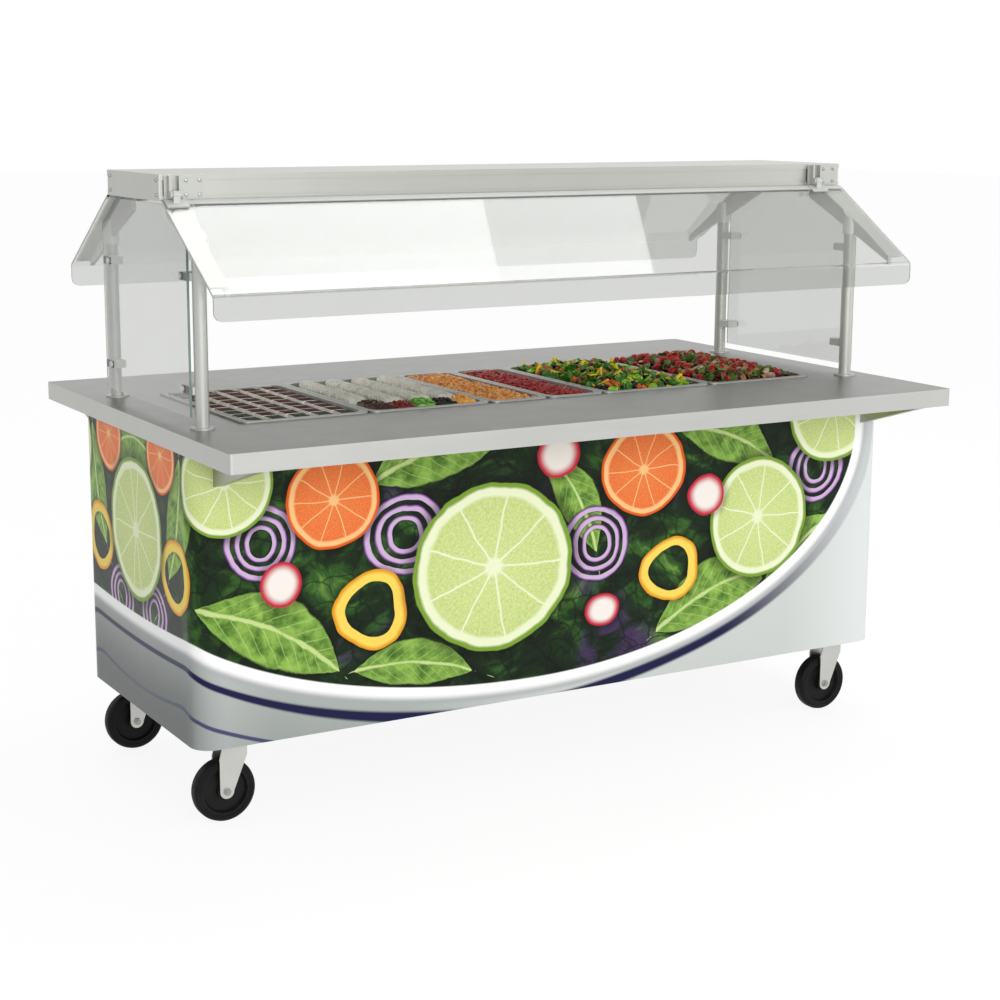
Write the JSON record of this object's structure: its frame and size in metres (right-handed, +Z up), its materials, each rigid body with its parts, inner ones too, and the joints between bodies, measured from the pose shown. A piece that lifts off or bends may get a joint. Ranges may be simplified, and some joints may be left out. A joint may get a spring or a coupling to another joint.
{
  "type": "mobile salad bar",
  "caption": "Wheeled cold-well salad bar: rounded cabinet, wide steel worktop, lift-out food pans and a glass-ended canopy with swing-up clear guards.",
  "frame": {"origin": "on the floor, under the middle of the cabinet", "axes": "+X along the counter to the right as seen from the front, +Y to the back (the side with the access door), +Z up"},
  "size_m": [1.984, 1.22, 1.471],
  "materials": {
    "worktop_steel": "brushed, satin",
    "painted_gusset": "satin",
    "printed_wrap": "printed film, semi-gloss",
    "frame_paint": "satin",
    "galvanised": "spangled zinc",
    "polished_steel": "polished",
    "white_plastic": "matte",
    "stainless": "satin",
    "foam": "open foam",
    "brass": "cast, dull",
    "red_plastic": "semi-gloss",
    "beam_aluminium": "satin anodised",
    "arm_aluminium": "satin white",
    "bracket_zinc": "satin",
    "zinc": "bright zinc",
    "end_glass": "polished edges",
    "guard_clear": "clear, polished edges",
    "food_dark": "moist",
    "food_white": "moist",
    "food_orange": "moist",
    "food_red": "moist",
    "food_green": "moist",
    "food_mixed": "moist",
    "wheel_core": "moulded",
    "tyre": "matte rubber"
  },
  "bodies": {
    "cart": {"worktop": "worktop_steel", "worktop_gussets": "painted_gusset", "cabinet_shell": "printed_wrap", "chassis": "frame_paint", "floor_pan": "galvanised", "upper_frame": "frame_paint", "door_hinges": "polished_steel", "door_catch": "white_plastic", "well_liner": "stainless", "well_insulation": "foam", "well_jacket": "galvanised", "divider_bars": "stainless", "drain_pipe": "stainless", "drain_valve": "brass", "top_beam": "beam_aluminium", "beam_end_caps": "beam_aluminium", "canopy_posts": "polished_steel", "post_nuts": "zinc", "canopy_arms": "arm_aluminium", "hinge_brackets": "bracket_zinc", "end_glass_left": "end_glass", "end_glass_right": "end_glass", "glass_clamps": "polished_steel", "caster_plates": "zinc", "caster_bolts": "zinc"},
    "door": {"access_door": "printed_wrap", "door_pull": "polished_steel"},
    "drain_lever": {"valve_lever": "red_plastic"},
    "guard_front": {"front_guard": "guard_clear", "front_guard_rail": "beam_aluminium"},
    "guard_back": {"back_guard": "guard_clear", "back_guard_rail": "beam_aluminium"},
    "lift_out_pan_1": {"pan_1": "stainless", "food_1_dark_squares": "food_dark"},
    "lift_out_pan_2": {"pan_2": "stainless", "food_2_white_rows": "food_white"},
    "lift_out_pan_3": {"pan_3": "stainless", "food_3_orange_dice": "food_orange"},
    "lift_out_pan_4": {"pan_4": "stainless", "food_4_red_beans": "food_red"},
    "lift_out_pan_5": {"pan_5": "stainless", "food_5_green_salad": "food_green"},
    "lift_out_pan_6": {"pan_6": "stainless", "food_6_red_salad": "food_mixed"},
    "caster_front_left": {"fork_front_left": "zinc", "axle_front_left": "zinc"},
    "roller_front_left": {"wheel_front_left": "wheel_core", "tyre_front_left": "tyre"},
    "caster_front_right": {"fork_front_right": "zinc", "axle_front_right": "zinc"},
    "roller_front_right": {"wheel_front_right": "wheel_core", "tyre_front_right": "tyre"},
    "caster_back_left": {"fork_back_left": "zinc", "axle_back_left": "zinc"},
    "roller_back_left": {"wheel_back_left": "wheel_core", "tyre_back_left": "tyre"},
    "caster_back_right": {"fork_back_right": "zinc", "axle_back_right": "zinc"},
    "roller_back_right": {"wheel_back_right": "wheel_core", "tyre_back_right": "tyre"}
  },
  "joints": [
    {"name": "front_guard_swing", "type": "hinge", "parent": "cart", "child": "guard_front", "pos_m": [0, -0.188, 1.426], "axis": [-1, 0, 0], "range_deg": [0, 90]},
    {"name": "back_guard_swing", "type": "hinge", "parent": "cart", "child": "guard_back", "pos_m": [0, 0.188, 1.426], "axis": [1, 0, 0], "range_deg": [0, 90]},
    {"name": "door_swing", "type": "hinge", "parent": "cart", "child": "door", "pos_m": [-0.3485, 0.37, 0.522], "axis": [0, 0, 1], "range_deg": [0, 110]},
    {"name": "drain_lever_turn", "type": "hinge", "parent": "cart", "child": "drain_lever", "pos_m": [0.12, 0.035, 0.6078], "axis": [0, -1, 0], "range_deg": [0, 90]},
    {"name": "pan_1_lift", "type": "slide", "parent": "cart", "child": "lift_out_pan_1", "axis": [0, 0, 1], "range_m": [0, 0.25]},
    {"name": "pan_2_lift", "type": "slide", "parent": "cart", "child": "lift_out_pan_2", "axis": [0, 0, 1], "range_m": [0, 0.25]},
    {"name": "pan_3_lift", "type": "slide", "parent": "cart", "child": "lift_out_pan_3", "axis": [0, 0, 1], "range_m": [0, 0.25]},
    {"name": "pan_4_lift", "type": "slide", "parent": "cart", "child": "lift_out_pan_4", "axis": [0, 0, 1], "range_m": [0, 0.25]},
    {"name": "pan_5_lift", "type": "slide", "parent": "cart", "child": "lift_out_pan_5", "axis": [0, 0, 1], "range_m": [0, 0.25]},
    {"name": "pan_6_lift", "type": "slide", "parent": "cart", "child": "lift_out_pan_6", "axis": [0, 0, 1], "range_m": [0, 0.25]},
    {"name": "front_left_swivel", "type": "hinge", "parent": "cart", "child": "caster_front_left", "pos_m": [-0.875, -0.298, 0.18], "axis": [0, 0, 1], "continuous": true},
    {"name": "front_left_roll", "type": "hinge", "parent": "caster_front_left", "child": "roller_front_left", "pos_m": [-0.896, -0.298, 0.075], "axis": [0, 1, 0], "continuous": true},
    {"name": "front_right_swivel", "type": "hinge", "parent": "cart", "child": "caster_front_right", "pos_m": [0.875, -0.298, 0.18], "axis": [0, 0, 1], "continuous": true},
    {"name": "front_right_roll", "type": "hinge", "parent": "caster_front_right", "child": "roller_front_right", "pos_m": [0.854, -0.298, 0.075], "axis": [0, 1, 0], "continuous": true},
    {"name": "back_left_swivel", "type": "hinge", "parent": "cart", "child": "caster_back_left", "pos_m": [-0.875, 0.298, 0.18], "axis": [0, 0, 1], "continuous": true},
    {"name": "back_left_roll", "type": "hinge", "parent": "caster_back_left", "child": "roller_back_left", "pos_m": [-0.896, 0.298, 0.075], "axis": [0, 1, 0], "continuous": true},
    {"name": "back_right_swivel", "type": "hinge", "parent": "cart", "child": "caster_back_right", "pos_m": [0.875, 0.298, 0.18], "axis": [0, 0, 1], "continuous": true},
    {"name": "back_right_roll", "type": "hinge", "parent": "caster_back_right", "child": "roller_back_right", "pos_m": [0.854, 0.298, 0.075], "axis": [0, 1, 0], "continuous": true}
  ]
}
